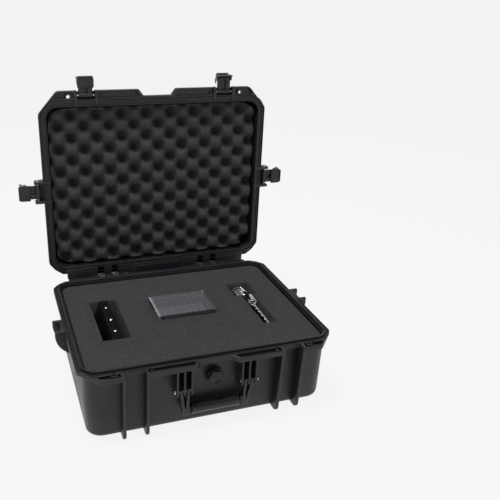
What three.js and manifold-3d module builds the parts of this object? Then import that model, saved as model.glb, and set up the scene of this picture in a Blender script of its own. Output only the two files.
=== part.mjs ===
// A hard equipment case, drawn open, with its cut foam insert and the three things stowed in it.
// Millimetres, +Z up, front towards -Y. The case is drawn closed; the groups of the lid, the latches and
// the handle then turn to where they stand with the lid open.
import * as THREE from "three";
import { mergeVertices } from "three/addons/utils/BufferGeometryUtils.js";
import Module from "manifold-3d";

const wasm = await Module();
wasm.setup();

// ---- driving dimensions ----
const GAP = 0.4; // clearance between neighbouring pieces
const OPEN_X = 235; // half width of the opening at the rim
const OPEN_Y = 180; // half depth of the opening at the rim
const OPEN_R = 25; // its corner radius
const RIM = 146; // height of the parting plane above the ground
const FLANGE_T = 10; // thickness of each rim flange
const SIDE_REACH = 15.3; // flange beyond the opening, at the sides
const BACK_REACH = 15.5;
const FRONT_REACH = 31.7;
const WALL_D = 5; // outer wall beyond the opening, at the rim
const WALL_T = 4.5;
const LEAN = 3; // how far the base walls lean in, from rim to floor
const LID_LEAN = 7;
const FLOOR = 1.5; // underside of the base above the ground
const LID_H = 62; // lid depth without its ribs
const BAND_H = 4; // ribs above the lid's outer face
const BASE_EDGE = 12; // radius of the base's lower edge
const LID_EDGE = 18;
const RIDGE_H = 3; // tongue on the base rim
const RIB_X = [130, 173]; // the ribs of each pair, from the middle
const RIB_T = 6;
const LATCH_X = (RIB_X[0] + RIB_X[1]) / 2;
const EAR_HALF = (RIB_X[1] - RIB_X[0]) / 2;
const HINGE_Y = OPEN_Y + 29.6;
const HINGE_Z = RIM - 7;
const HINGE_R = 7;
const HINGE_X = 120;
const HINGE_HALF = 40;
const FRONT_PIVOT = 21; // latch pins beyond the opening
const SIDE_PIVOT = 27;
const PIVOT_UP = 8; // and above the parting plane
const LATCH_NOTCH = 14.5; // flange left in front of the opening, between the ribs
const HANDLE_X = [49, 63, 76.5]; // the three fins of each handle ear
const HANDLE_Y = -OPEN_Y - 26;
const HANDLE_Z = RIM - 54;
const GRIP_Z = RIM - 101;
const GRIP_Y = -OPEN_Y - 17; // it hangs back against the wall
const GRIP_HALF = 47.5;
const FOAM_TOP = RIM - 6;
const FOAM_SPLIT = RIM - 80; // between the pocketed layer and the plain pad
const GRIP_R = 11.5;
// Puts the origin under the middle of the open case: flange at the front, lid ribs at the back.
const FRONT = -OPEN_Y - FRONT_REACH;
const REST_SHIFT_Y = -(FRONT + HINGE_Y + RIM + LID_H + BAND_H - HINGE_Z) / 2;
const LID_OPEN = -Math.PI / 2;
const ARM_OPEN = Math.PI / 2;
const LEVER_THROWN = -Math.PI; // a tab turned right over, its outer face to the front
const BEYOND = 400; // further out than any part of the case

// ---- materials ----
const matte = (color, roughness) => new THREE.MeshStandardMaterial({ color, roughness, metalness: 0 });
const metal = (color, roughness) => new THREE.MeshStandardMaterial({ color, roughness, metalness: 1 });
const shellBlack = matte(0x1c1d20, 0.6);
const latchBlack = matte(0x17181a, 0.5);
const foamGrey = matte(0x2a2a2c, 1);
const sealBlack = matte(0x0e0e0f, 0.8);
const gripRubber = matte(0x141415, 0.55);
const pinSteel = metal(0x9a9ca0, 0.35);
const chrome = metal(0xd8dadc, 0.15);
const darkGloss = matte(0x08080a, 0.2);
const glassy = { roughness: 0.05, transparent: true, opacity: 0.35 };
const clear = new THREE.MeshStandardMaterial({ color: 0xdfe6ea, ...glassy });

// ---- solids ----
function solid(geometry) {
  geometry.deleteAttribute("normal");
  geometry.deleteAttribute("uv");
  const merged = mergeVertices(geometry, 1e-4);
  const vertProperties = merged.attributes.position.array;
  const triVerts = new Uint32Array(merged.index.array);
  return new wasm.Manifold(new wasm.Mesh({ numProp: 3, vertProperties, triVerts }));
}

function geometryOf(body) {
  const { vertProperties, triVerts } = body.getMesh();
  const geometry = new THREE.BufferGeometry();
  geometry.setAttribute("position", new THREE.BufferAttribute(vertProperties, 3));
  geometry.setIndex(new THREE.BufferAttribute(triVerts, 1));
  return geometry;
}

const join = (first, ...others) => others.reduce((sum, one) => sum.add(one), first);
const cut = (first, ...others) => others.reduce((left, one) => left.subtract(one), first);

function extruded(shape, depth, curveSegments = 3) {
  return new THREE.ExtrudeGeometry(shape, { depth, bevelEnabled: false, curveSegments });
}

// An outline in X and Y, carried from one height to another.
function slab(shape, low, high, curveSegments) {
  return solid(extruded(shape, high - low, curveSegments).translate(0, 0, low));
}

// An outline in Y and Z, carried along X.
const ALONG_X = new THREE.Matrix4().set(0, 0, 1, 0, 1, 0, 0, 0, 0, 1, 0, 0, 0, 0, 0, 1);
function plateX(shape, middle, thickness, curveSegments) {
  const geometry = extruded(shape, thickness, curveSegments).translate(0, 0, middle - thickness / 2);
  return solid(geometry.applyMatrix4(ALONG_X));
}

// An outline in X and Z, carried along Y.
const ALONG_Y = new THREE.Matrix4().set(1, 0, 0, 0, 0, 0, -1, 0, 0, 1, 0, 0, 0, 0, 0, 1);
function plateY(shape, middle, thickness, curveSegments) {
  const geometry = extruded(shape, thickness, curveSegments).translate(0, 0, -middle - thickness / 2);
  return solid(geometry.applyMatrix4(ALONG_Y));
}

function block(x0, x1, y0, y1, z0, z1) {
  const geometry = new THREE.BoxGeometry(x1 - x0, y1 - y0, z1 - z0);
  return solid(geometry.translate((x0 + x1) / 2, (y0 + y1) / 2, (z0 + z1) / 2));
}

// Everything between two heights.
function layer(low, high) {
  return block(-BEYOND, BEYOND, -BEYOND, BEYOND, low, high);
}

// A block on the left or right half: the same one, mirrored.
function sideBlock(side, near, far, y0, y1, z0, z1) {
  const [x0, x1] = [side * near, side * far].sort((a, b) => a - b);
  return block(x0, x1, y0, y1, z0, z1);
}

// A round bar along "x", "y" or "z".
function bar(axis, x, y, z, radius, length, sides = 12) {
  const geometry = new THREE.CylinderGeometry(radius, radius, length, sides);
  if (axis === "x") geometry.rotateZ(Math.PI / 2);
  if (axis === "z") geometry.rotateX(Math.PI / 2);
  return solid(geometry.translate(x, y, z));
}

function polygon(...points) {
  return new THREE.Shape(points.map(([a, b]) => new THREE.Vector2(a, b)));
}

function roundedRect(halfX, halfY, radius) {
  const shape = new THREE.Shape();
  const [x, y] = [halfX - radius, halfY - radius];
  shape.absarc(x, y, radius, 0, Math.PI / 2);
  shape.absarc(-x, y, radius, Math.PI / 2, Math.PI);
  shape.absarc(-x, -y, radius, Math.PI, Math.PI * 1.5);
  shape.absarc(x, -y, radius, Math.PI * 1.5, Math.PI * 2);
  return shape;
}

// The opening's outline, moved out by a distance.
function around(distance) {
  return roundedRect(OPEN_X + distance, OPEN_Y + distance, Math.max(OPEN_R + distance, 6));
}

// A tub-shaped block below `high`: rounded lower edge, walls leaning in towards `low`.
function tub(distance, low, high, edge, lean) {
  const shape = roundedRect(OPEN_X + distance - edge, OPEN_Y + distance - edge, 8);
  const bevel = { bevelEnabled: true, bevelThickness: edge, bevelSize: edge, bevelSegments: 3 };
  const depth = high - low - edge + 1;
  const geometry = new THREE.ExtrudeGeometry(shape, { depth, curveSegments: 3, ...bevel });
  geometry.translate(0, 0, low + edge);
  const position = geometry.attributes.position;
  for (let i = 0; i < position.count; i += 1) {
    const inward = (lean * (high - position.getZ(i))) / (high - low);
    position.setX(i, position.getX(i) * (1 - inward / (OPEN_X + distance)));
    position.setY(i, position.getY(i) * (1 - inward / (OPEN_Y + distance)));
  }
  return cut(solid(geometry), layer(high, high + edge + 5));
}

// Turns a solid drawn under the parting plane over, so that it stands above it.
function overRim(body) {
  const geometry = geometryOf(body).translate(0, 0, -RIM);
  return solid(geometry.rotateX(Math.PI).translate(0, 0, RIM));
}

const root = new THREE.Group();
root.position.y = REST_SHIFT_Y;

function piece(name, body, material, parent = root) {
  const mesh = new THREE.Mesh(body.isBufferGeometry ? body : geometryOf(body), material);
  mesh.name = name;
  parent.add(mesh);
  return mesh;
}

// A group that turns about a point; what it holds is still drawn in the closed case's own frame.
function hinged(parent, x, y, z) {
  const pivot = new THREE.Group();
  pivot.position.set(x, y, z);
  const contents = new THREE.Group();
  contents.position.set(-x, -y, -z);
  pivot.add(contents);
  parent.add(pivot);
  return { pivot, contents };
}

// ---- rim flange, alike on base and lid ----
function flangeOutline() {
  const side = OPEN_X + SIDE_REACH;
  const back = OPEN_Y + BACK_REACH;
  const notch = -OPEN_Y - LATCH_NOTCH;
  const inside = EAR_HALF - RIB_T / 2;
  const right = [
    [side - 27, back],
    [side, back - 27],
    [side, FRONT + 46],
    [side - 39.5, FRONT],
    [LATCH_X + inside, FRONT],
    [LATCH_X + inside, notch],
    [LATCH_X - inside, notch],
    [LATCH_X - inside, FRONT],
    [40.4, FRONT],
    [30.2, FRONT + 13.7],
  ];
  const left = right.map(([x, y]) => [-x, y]).reverse();
  return polygon(...right, ...left);
}

const HOLES = [
  [188, 4],
  [121, 2.5],
];
const HOLE_Y = FRONT + 12;

function flange(low, high) {
  const cuts = [slab(around(0), low - 1, high + 1)];
  for (const side of [-1, 1])
    for (const [x, radius] of HOLES)
      cuts.push(bar("z", side * x, HOLE_Y, (low + high) / 2, radius, high - low + 2, 12));
  return cut(slab(flangeOutline(), low, high), ...cuts);
}

// ---- base ----
// A fin along the front wall, from the flange's edge down to a round foot on the ground.
function frontRib() {
  const shape = new THREE.Shape();
  const foot = 12;
  const footFront = FRONT + 11; // the edge leans in towards the foot
  shape.moveTo(-OPEN_Y + 4, RIM - 1);
  shape.lineTo(FRONT + 0.3, RIM - 1);
  shape.lineTo(footFront, foot);
  shape.absarc(footFront + foot, foot, foot, Math.PI, Math.PI * 1.5);
  shape.lineTo(-OPEN_Y + 6, 0);
  shape.lineTo(-OPEN_Y + 16, FLOOR + 4);
  return shape;
}

function backRib() {
  const shape = new THREE.Shape();
  const back = OPEN_Y + 20;
  const foot = 14;
  shape.moveTo(OPEN_Y - 4, RIM - FLANGE_T - 12);
  shape.lineTo(OPEN_Y - 16, FLOOR + 4);
  shape.lineTo(OPEN_Y - 10, 0);
  shape.lineTo(back - foot, 0);
  shape.absarc(back - foot, foot, foot, Math.PI * 1.5, Math.PI * 2);
  shape.lineTo(back, RIM - FLANGE_T - 24);
  return shape;
}

// Fin beside each side latch: out to the keeper at the rim, bulging back to the wall below.
const FIN_REACH = SIDE_PIVOT + 7;
function sideFin(side) {
  const shape = new THREE.Shape();
  shape.moveTo(side * (OPEN_X - 3), RIM - 0.5);
  shape.lineTo(side * (OPEN_X + FIN_REACH), RIM - 0.5);
  shape.lineTo(side * (OPEN_X + FIN_REACH), RIM - 14);
  shape.quadraticCurveTo(side * (OPEN_X + 30), RIM - 42, side * (OPEN_X - 3), RIM - 56);
  return shape;
}

function handleFin() {
  const shape = new THREE.Shape();
  shape.moveTo(-OPEN_Y + 2, RIM - FLANGE_T + 1);
  shape.lineTo(FRONT + 1, RIM - FLANGE_T + 1);
  shape.lineTo(FRONT + 1, HANDLE_Z - 6);
  shape.absarc(HANDLE_Y, HANDLE_Z - 6, HANDLE_Y - FRONT - 1, Math.PI, Math.PI * 1.5);
  shape.lineTo(-OPEN_Y + 8, HANDLE_Z - 12);
  return shape;
}

// Barrel segments of one hinge, with the arm that carries them out from a flange.
function knuckles(middle, spans, arm) {
  const parts = [];
  for (const [from, to] of spans) {
    const at = middle + (from + to) / 2;
    parts.push(plateX(arm, at, to - from));
    parts.push(bar("x", at, HINGE_Y, HINGE_Z, HINGE_R, to - from));
  }
  return parts;
}

const BASE_SPANS = [
  [-HINGE_HALF, -24],
  [-8, 8],
  [24, HINGE_HALF],
];
const LID_SPANS = [
  [-24 + GAP, -8 - GAP],
  [8 + GAP, 24 - GAP],
];
const baseArm = polygon(
  [OPEN_Y + 6, RIM - FLANGE_T],
  [HINGE_Y, HINGE_Z - HINGE_R],
  [HINGE_Y, RIM - 0.2],
  [OPEN_Y + 6, RIM - 0.2],
);
const lidArm = polygon(
  [OPEN_Y + 6, RIM + 0.5],
  [HINGE_Y - 6, RIM + 0.5],
  [HINGE_Y, HINGE_Z],
  [HINGE_Y + HINGE_R, HINGE_Z],
  [HINGE_Y + HINGE_R, RIM],
  [HINGE_Y, RIM + 8],
  [OPEN_Y + 6, RIM + 8],
);
const HINGE_LEDGE = [55, 212]; // the flanges reach out to the hinge between these, from the middle
const LEDGE_Y = HINGE_Y - 3.6;
const PIN_R = 2.5;
const hingeBores = [-HINGE_X, HINGE_X].map((x) => bar("x", x, HINGE_Y, HINGE_Z, PIN_R + GAP, 100));
const HANDLE_PIN_R = 2.2;
const handleBores = [-HANDLE_X[1], HANDLE_X[1]].map((x) => (
  bar("x", x, HANDLE_Y, HANDLE_Z, HANDLE_PIN_R + GAP, 40)
));

const VALVE_Z = RIM - 42;
const VALVE_SEAT = -OPEN_Y - 7; // flat boss that the valve screws against
const VALVE_BORE = 9.4;

function baseShell() {
  const walls = [
    tub(WALL_D, FLOOR, RIM - 2, BASE_EDGE, LEAN),
    flange(RIM - FLANGE_T, RIM),
    cut(slab(around(6.5), RIM - 1, RIM + RIDGE_H), slab(around(2.5), RIM - 2, RIM + RIDGE_H + 1)),
    bar("y", 0, VALVE_SEAT + 5, VALVE_Z, 18, 10, 24),
  ];
  for (const side of [-1, 1]) {
    for (const x of RIB_X) {
      walls.push(plateX(frontRib(), side * x, RIB_T));
      walls.push(plateX(backRib(), side * x, RIB_T));
    }
    for (const x of HANDLE_X) walls.push(plateX(handleFin(), side * x, 4, 4));
    for (const y of [-EAR_HALF, EAR_HALF]) walls.push(plateY(sideFin(side), y, RIB_T));
    const keeper = OPEN_X + SIDE_PIVOT - 6.5; // the ledge that a side latch hooks under
    walls.push(sideBlock(side, OPEN_X + 3, keeper, -EAR_HALF, EAR_HALF, RIM - FLANGE_T, RIM - 0.5));
    walls.push(...knuckles(side * HINGE_X, BASE_SPANS, baseArm));
    for (const [near, far] of [[HINGE_LEDGE[0], 79.4], [160.6, HINGE_LEDGE[1]]])
      walls.push(sideBlock(side, near, far, OPEN_Y + 8, LEDGE_Y, RIM - FLANGE_T, RIM - 0.5));
  }
  const hollow = tub(WALL_D - WALL_T, FLOOR + WALL_T, RIM + 6, BASE_EDGE - 4, LEAN);
  const valveBore = bar("y", 0, VALVE_SEAT, VALVE_Z, VALVE_BORE, 60, 20);
  return cut(join(...walls), hollow, ...hingeBores, ...handleBores, valveBore);
}
piece("base_shell", baseShell(), shellBlack);

for (const [name, side] of [["left", -1], ["right", 1]]) {
  const pin = bar("x", side * HINGE_X, HINGE_Y, HINGE_Z, PIN_R, 2 * HINGE_HALF + 2);
  piece(`hinge_pin_${name}`, pin, pinSteel);
}

// ---- foam insert ----
const LEFT_POCKET = { x: [-186, -128], y: [-73, 93], low: FOAM_TOP - 62 };
const BOX = { x: [-62, 62], y: [-23.5, 65.5], low: RIM - 37, high: RIM + 3 };
const TOOL_HEAD = { x: [124, 180], y: [35, 97], low: FOAM_TOP - 44 };
const TOOL_SLOT = { x: [139, 171], y: [-94, 36] };

function foamPocket({ x, y, low }) {
  return block(x[0], x[1], y[0], y[1], low, RIM + 5);
}

const foamBlock = cut(
  tub(-1, FLOOR + WALL_T + 0.5, RIM, BASE_EDGE - 4, LEAN),
  layer(FOAM_TOP, RIM + 20),
  foamPocket(LEFT_POCKET),
  foamPocket({ x: [BOX.x[0] - 1, BOX.x[1] + 1], y: [BOX.y[0] - 1, BOX.y[1] + 1], low: BOX.low - 0.5 }),
  foamPocket(TOOL_HEAD),
  foamPocket({ ...TOOL_SLOT, low: TOOL_HEAD.low }),
  block(-18, 18, -OPEN_Y - 20, -OPEN_Y + 16, VALVE_Z - 18, VALVE_Z + 18),
);
piece("foam_insert", cut(foamBlock, layer(0, FOAM_SPLIT)), foamGrey);
piece("foam_pad", cut(foamBlock, layer(FOAM_SPLIT - GAP, RIM + 20)), foamGrey);

// ---- pressure valve ----
const valveBody = cut(
  join(
    bar("y", 0, VALVE_SEAT - 4.8, VALVE_Z, 16, 6, 24),
    bar("y", 0, VALVE_SEAT + 4, VALVE_Z, 9, 22, 20),
  ),
  bar("y", 0, VALVE_SEAT, VALVE_Z, 5, 60, 16),
);
piece("valve_body", valveBody, latchBlack);
const valveSeal = cut(
  bar("y", 0, VALVE_SEAT - 0.9, VALVE_Z, 15, 1.4, 24),
  bar("y", 0, VALVE_SEAT, VALVE_Z, VALVE_BORE, 60, 20),
);
piece("valve_seal", valveSeal, sealBlack);
const valveNut = cut(
  bar("y", 0, VALVE_SEAT + 12.5, VALVE_Z, 13.5, 4, 6),
  bar("y", 0, VALVE_SEAT, VALVE_Z, VALVE_BORE, 60, 20),
);
piece("valve_nut", valveNut, latchBlack);
const valveKnob = join(
  bar("y", 0, VALVE_SEAT - 13, VALVE_Z, 13.5, 9.6, 6),
  bar("y", 0, VALVE_SEAT - 4, VALVE_Z, 4.6, 14, 16),
);
piece("valve_knob", valveKnob, latchBlack);

// ---- carrying handle, hanging ----
function handleFrame() {
  const parts = [bar("x", 0, GRIP_Y, GRIP_Z, 5, 2 * GRIP_HALF + 8, 12)];
  const arm = new THREE.Shape();
  arm.absarc(HANDLE_Y, HANDLE_Z, 5, 0, Math.PI);
  arm.lineTo(GRIP_Y - 8, GRIP_Z + 2);
  arm.absarc(GRIP_Y, GRIP_Z - 3, 8, Math.PI, Math.PI * 2);
  for (const side of [-1, 1]) {
    parts.push(plateX(arm, side * 56, 6, 6));
    // The outer prong leans in, and meets the inner one at the bar.
    const prong = geometryOf(plateX(arm, side * 69.75, 6, 6)).translate(0, 0, -HANDLE_Z);
    const leaning = new THREE.Matrix4().set(1, 0, side * 0.15, 0, 0, 1, 0, 0, 0, 0, 1, 0, 0, 0, 0, 1);
    parts.push(solid(prong.applyMatrix4(leaning).translate(0, 0, HANDLE_Z)));
    const [yoke, outer] = [GRIP_HALF + 0.9, HANDLE_X[2] - 11.5];
    parts.push(sideBlock(side, yoke, outer, GRIP_Y - 8, GRIP_Y + 8, GRIP_Z - 9, GRIP_Z + 9));
  }
  return cut(join(...parts), ...handleBores);
}
piece("handle_frame", handleFrame(), latchBlack);
const grip = cut(
  bar("x", 0, GRIP_Y, GRIP_Z, GRIP_R, 2 * GRIP_HALF, 16),
  bar("x", 0, GRIP_Y, GRIP_Z, 5.4, 2 * GRIP_HALF + 2, 12),
);
piece("handle_grip", grip, gripRubber);
for (const [name, side] of [["left", -1], ["right", 1]]) {
  const pin = join(
    bar("x", side * HANDLE_X[1], HANDLE_Y, HANDLE_Z, HANDLE_PIN_R, 34),
    bar("x", side * (HANDLE_X[2] + 4.4), HANDLE_Y, HANDLE_Z, 4, 4),
  );
  piece(`handle_pin_${name}`, pin, pinSteel);
}

// ---- lid ----
const lid = hinged(root, 0, HINGE_Y, HINGE_Z);
lid.pivot.rotation.x = LID_OPEN;

// Rib over the lid: up the front as a latch ear, over the face, and down the back.
function lidRib() {
  const shape = new THREE.Shape();
  const face = RIM + LID_H + BAND_H;
  shape.moveTo(FRONT, RIM);
  shape.lineTo(OPEN_Y - 3, RIM + 12);
  shape.lineTo(OPEN_Y + 12, RIM + 12);
  shape.lineTo(OPEN_Y + 12, RIM + 40);
  shape.quadraticCurveTo(OPEN_Y + 10, face, OPEN_Y - 16, face);
  shape.lineTo(-OPEN_Y + 16, face);
  shape.quadraticCurveTo(-OPEN_Y - 10, face, -OPEN_Y - 12, RIM + 40);
  shape.quadraticCurveTo(-OPEN_Y - 14, RIM + 22, FRONT, RIM + 18);
  return shape;
}

function sideEar(side) {
  const shape = new THREE.Shape();
  const out = side * (OPEN_X + FIN_REACH);
  shape.moveTo(side * (OPEN_X + 1), RIM + 0.5);
  shape.lineTo(out, RIM + 0.5);
  shape.lineTo(out, RIM + 10);
  shape.quadraticCurveTo(out, RIM + 18, side * (OPEN_X + SIDE_PIVOT - 3), RIM + 18);
  shape.quadraticCurveTo(side * (OPEN_X + 10), RIM + 22, side * (OPEN_X + 1), RIM + 38);
  return shape;
}

const LATCH_PIN_R = 2;
const WEB_UP = 14.8; // webs join the two ears of a latch behind its arm
function lidShell() {
  const outer = overRim(tub(WALL_D, RIM - LID_H, RIM - 2, LID_EDGE, LID_LEAN));
  const hollow = overRim(tub(WALL_D - WALL_T, RIM - LID_H + WALL_T, RIM + 6, LID_EDGE - 4, LID_LEAN));
  const groove = cut(slab(around(7.2), RIM - 2, RIM + 5), slab(around(1.8), RIM - 3, RIM + 6));
  const ribbing = [];
  const bores = [];
  for (const side of [-1, 1]) {
    for (const x of RIB_X) ribbing.push(plateX(lidRib(), side * x, RIB_T, 4));
    for (const y of [-EAR_HALF, EAR_HALF]) ribbing.push(plateY(sideEar(side), y, RIB_T, 4));
    const webTop = RIM + WEB_UP + 2;
    ribbing.push(sideBlock(side, ...RIB_X, FRONT + 3, -OPEN_Y - 4, RIM + WEB_UP, webTop));
    ribbing.push(sideBlock(side, OPEN_X + 4, OPEN_X + 31, -EAR_HALF, EAR_HALF, RIM + WEB_UP, webTop));
    ribbing.push(...knuckles(side * HINGE_X, LID_SPANS, lidArm));
    ribbing.push(sideBlock(side, ...HINGE_LEDGE, OPEN_Y + 8, HINGE_Y, RIM + 0.5, RIM + FLANGE_T));
    bores.push(bar("x", side * LATCH_X, -OPEN_Y - FRONT_PIVOT, RIM + PIVOT_UP, LATCH_PIN_R + 0.3, 60));
    bores.push(bar("y", side * (OPEN_X + SIDE_PIVOT), 0, RIM + PIVOT_UP, LATCH_PIN_R + 0.3, 60));
  }
  // Between the hinges the lid's flange reaches a little further, and covers the gap when open.
  const [ledge] = HINGE_LEDGE;
  ribbing.push(block(-ledge - 1, ledge + 1, OPEN_Y + 8, HINGE_Y + 4, RIM + 3, RIM + FLANGE_T));
  const walls = join(outer, flange(RIM, RIM + FLANGE_T), ...ribbing);
  return cut(walls, hollow, groove, ...hingeBores, ...bores);
}
piece("lid_shell", lidShell(), shellBlack, lid.contents);

const gasket = cut(
  slab(around(6.6), RIM + RIDGE_H + GAP, RIM + 5 - GAP),
  slab(around(2.4), RIM + 1, RIM + 6),
);
piece("lid_gasket", gasket, sealBlack, lid.contents);

const lidFoam = cut(
  overRim(tub(-1.5, RIM - LID_H + WALL_T + 1, RIM + 6, LID_EDGE - 4, LID_LEAN)),
  layer(RIM - 20, RIM + 6),
);
piece("lid_foam", lidFoam, foamGrey, lid.contents);

// ---- latches ----
// Drawn shut, in a frame of their own: X outwards, Y up, Z along the pin, origin on the arm's pin.
const ARM_HALF = 14.5;
const LEVER_PIN = [1.5, -28];
const LEVER_PIN_R = 1.5;
const leverBore = bar("z", ...LEVER_PIN, 0, LEVER_PIN_R + GAP, 60, 10);

// Two legs joined by a web, from the pin in the ears to the pin that carries the tab.
function latchArm() {
  const windowHalf = 4.5;
  const parts = [
    bar("z", 0, 0, 0, 5.5, 2 * ARM_HALF),
    bar("z", ...LEVER_PIN, 0, 3.6, 2 * ARM_HALF),
    block(-1.5, 4, LEVER_PIN[1] + 1, -3, -ARM_HALF, -windowHalf),
    block(-1.5, 4, LEVER_PIN[1] + 1, -3, windowHalf, ARM_HALF),
    block(-1.5, 0.3, LEVER_PIN[1] + 1, -3, -windowHalf - 1, windowHalf + 1),
  ];
  return cut(join(...parts), bar("z", 0, 0, 0, LATCH_PIN_R + 0.6, 60), leverBore);
}

// The tab: a plate in front of the arm with a finger lip, and two cheeks on the tab's pin. Shut,
// the noses on the cheeks sit under the base's flange.
function latchTab() {
  const [near, far] = [6.2, 9.2];
  const [low, high] = [LEVER_PIN[1] - 12, LEVER_PIN[1] + 12];
  const halfWidth = 17.2;
  const noseTop = -PIVOT_UP - FLANGE_T - 2 * GAP;
  const cheek = new THREE.Shape();
  cheek.absarc(...LEVER_PIN, 5, Math.PI / 2, Math.PI * 1.5);
  cheek.lineTo(near + 1.8, LEVER_PIN[1] - 5);
  cheek.lineTo(near + 1.8, LEVER_PIN[1] + 5);
  const parts = [
    block(near, far, low, high, -halfWidth, halfWidth),
    block(far - 0.2, far + 2.8, high - 3, high, -14, 14),
  ];
  for (const outer of [-halfWidth, halfWidth - 2]) {
    parts.push(solid(extruded(cheek, 2, 6).translate(0, 0, outer)));
    parts.push(block(-9.5, LEVER_PIN[0] + 2, noseTop - 4.4, noseTop, outer, outer + 2));
  }
  return cut(join(...parts), leverBore);
}

const latches = [
  { name: "front_left", at: [-LATCH_X, -OPEN_Y - FRONT_PIVOT], turn: -Math.PI / 2, lever: LEVER_THROWN },
  { name: "front_right", at: [LATCH_X, -OPEN_Y - FRONT_PIVOT], turn: -Math.PI / 2, lever: LEVER_THROWN / 2 },
  { name: "side_left", at: [-OPEN_X - SIDE_PIVOT, 0], turn: Math.PI, lever: LEVER_THROWN },
  { name: "side_right", at: [OPEN_X + SIDE_PIVOT, 0], turn: 0, lever: LEVER_THROWN },
];
for (const { name, at, turn, lever } of latches) {
  const seat = new THREE.Group(); // turns the latch's own frame to face out of its wall
  seat.position.set(at[0], at[1], RIM + PIVOT_UP);
  const outwards = new THREE.Vector3(Math.cos(turn), Math.sin(turn), 0);
  const upwards = new THREE.Vector3(0, 0, 1);
  const basis = new THREE.Matrix4().makeBasis(outwards, upwards, outwards.clone().cross(upwards));
  seat.quaternion.setFromRotationMatrix(basis);
  lid.contents.add(seat);
  const pinLength = 2 * (EAR_HALF + RIB_T / 2) + 1;
  piece(`latch_pin_${name}`, bar("z", 0, 0, 0, LATCH_PIN_R, pinLength), pinSteel, seat);
  const arm = hinged(seat, 0, 0, 0);
  arm.pivot.rotation.z = ARM_OPEN;
  piece(`latch_arm_${name}`, latchArm(), latchBlack, arm.contents);
  piece(`lever_pin_${name}`, bar("z", ...LEVER_PIN, 0, LEVER_PIN_R, 35, 10), pinSteel, arm.contents);
  const turned = hinged(arm.contents, ...LEVER_PIN, 0);
  turned.pivot.rotation.z = lever;
  piece(`latch_lever_${name}`, latchTab(), latchBlack, turned.contents);
}

// ---- clear box ----
// A box shape shrunk by a distance on its four sides.
function insideBox({ x, y }, by, low, high) {
  return block(x[0] + by, x[1] - by, y[0] + by, y[1] - by, low, high);
}

const BOX_WALL = 3;
const boxCover = cut(insideBox(BOX, 0, BOX.low, BOX.high), insideBox(BOX, BOX_WALL, 0, BOX.high - BOX_WALL));
piece("clear_cover", boxCover, clear);
piece("clear_box_tray", insideBox(BOX, BOX_WALL + GAP, BOX.low + 0.2, BOX.low + 12), darkGloss);

// ---- chrome hand tool ----
const TOOL_Z = FOAM_TOP - 2; // its highest plate
const HEAD = { x: 147, z: TOOL_Z - 16, radius: 14.6 };
const LENS = { x: 155, y: 8, radius: 5.1 };
const headCore = join(
  bar("y", HEAD.x, 64, HEAD.z, HEAD.radius, 40, 16),
  bar("y", HEAD.x + 5, 87, TOOL_Z - 6, 4, 14),
);
piece("tool_head", headCore, chrome);

// A ring round the head, flush with its own hollow and 0.4 clear of it.
function ringRib(y, radius) {
  return cut(bar("y", HEAD.x, y, HEAD.z, radius, 5, 20), bar("y", HEAD.x, y, HEAD.z, radius - 4, 9, 20));
}
[74, 65, 56].forEach((y, i) => piece(`tool_ring_${i + 1}`, ringRib(y, 19 + i / 2), chrome));

const plateShape = polygon([143, 43], [167, 43], [168, 12], [161, -2], [150, -4], [143, 6]);
const lensHole = bar("z", LENS.x, LENS.y, TOOL_Z - 8, LENS.radius + GAP, 30, 16);
piece("tool_body", cut(slab(plateShape, TOOL_Z - 14, TOOL_Z - 2), lensHole), chrome);
piece("tool_lens", bar("z", LENS.x, LENS.y, TOOL_Z - 9, LENS.radius, 9, 16), darkGloss);
const handleBar = polygon(
  [152, -4.6],
  [158, -4.6],
  [157, -82],
  [161, -91],
  [156, -91],
  [151, -82],
);
piece("tool_handle", slab(handleBar, TOOL_Z - 20, TOOL_Z - 3), chrome);

// ---- black tool with three rivets ----
const RIDGE_Z = FOAM_TOP + 1;
const RIDGE_X = -155; // middle of the strip along its top
const COVER_FOOT = RIDGE_Z - 54;
const RIVETS = [56, 4, -42];
const spineHoles = RIVETS.map((y) => bar("z", RIDGE_X, y, RIDGE_Z, 2.4 + GAP, 40, 10));
const spine = block(RIDGE_X - 8, RIDGE_X + 8, -70, 90, RIDGE_Z - 8, RIDGE_Z);
piece("black_tool_spine", cut(spine, ...spineHoles), darkGloss);
RIVETS.forEach((y, i) => {
  const shank = bar("z", RIDGE_X, y, RIDGE_Z - 4, 2.4, 10.4, 10);
  const head = bar("z", RIDGE_X, y, RIDGE_Z + 1.4, 4, 1.6);
  piece(`black_tool_rivet_${i + 1}`, join(shank, head), pinSteel);
});

// The two covers hang from the strip's sides, the left one sloping outwards.
const leftEdge = RIDGE_X - 8 - GAP;
const leftCover = polygon(
  [leftEdge, RIDGE_Z],
  [leftEdge, RIDGE_Z - 6],
  [-179, COVER_FOOT],
  [-184, COVER_FOOT],
);
const slots = [-58, -38, -18, 2].map((y) => block(-200, -150, y - 4, y + 4, RIDGE_Z - 36, RIDGE_Z - 20));
piece("black_tool_left_cover", cut(plateY(leftCover, 10, 160), ...slots), darkGloss);
const rightEdge = RIDGE_X + 8 + GAP;
const rightCover = polygon(
  [rightEdge, RIDGE_Z],
  [-133, COVER_FOOT],
  [-138, COVER_FOOT],
  [rightEdge, RIDGE_Z - 8],
);
piece("black_tool_right_cover", plateY(rightCover, 10, 160), darkGloss);

export default root;
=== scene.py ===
import math

import bmesh
import bpy
import numpy as np
from mathutils import Matrix, Vector
from mathutils.geometry import tessellate_polygon


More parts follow.
